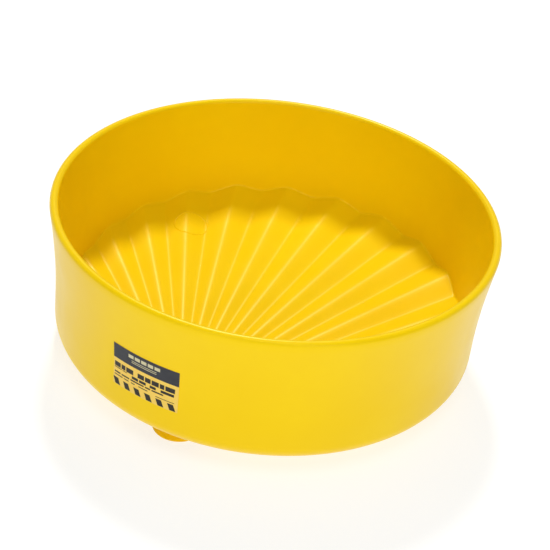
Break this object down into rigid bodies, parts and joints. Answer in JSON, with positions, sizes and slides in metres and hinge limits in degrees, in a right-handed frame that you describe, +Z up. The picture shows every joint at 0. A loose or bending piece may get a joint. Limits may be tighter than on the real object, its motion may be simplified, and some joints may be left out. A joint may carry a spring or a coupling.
{
  "type": "drum funnel",
  "caption": "Wide shallow drum funnel with a full-round rim, a fluted floor falling to an off-centre threaded spout, and a lift-out strainer.",
  "frame": {"origin": "where the spout's axis meets the plane of the flat base, at the drum's bung", "axes": "+Z up along the spout's axis, +Y towards the pan's own axis, +X to the right when the spout is nearest"},
  "size_m": [0.5269, 0.5269, 0.1992],
  "materials": {
    "body": "satin moulded high-density polyethylene, safety yellow",
    "spout": "satin moulded polyethylene, safety yellow",
    "rubber": "dull black nitrile rubber",
    "nylon": "satin black nylon",
    "steel": "satin stainless steel",
    "gauze": "woven stainless steel gauze",
    "label": "printed film, pale yellow with a charcoal band"
  },
  "bodies": {
    "funnel": {"funnel_body": "body", "spout": "spout", "spout_gasket": "rubber", "slip_washer": "nylon", "lock_nut": "nylon", "bung_gasket": "rubber", "vent_plug": "nylon", "label": "label"},
    "strainer": {"strainer_ring": "steel", "strainer_cup": "gauze", "strainer_loop": "steel"}
  },
  "joints": [
    {"name": "strainer_lift", "type": "slide", "parent": "funnel", "child": "strainer", "axis": [0, 0, 1], "range_m": [0, 0.12]}
  ]
}
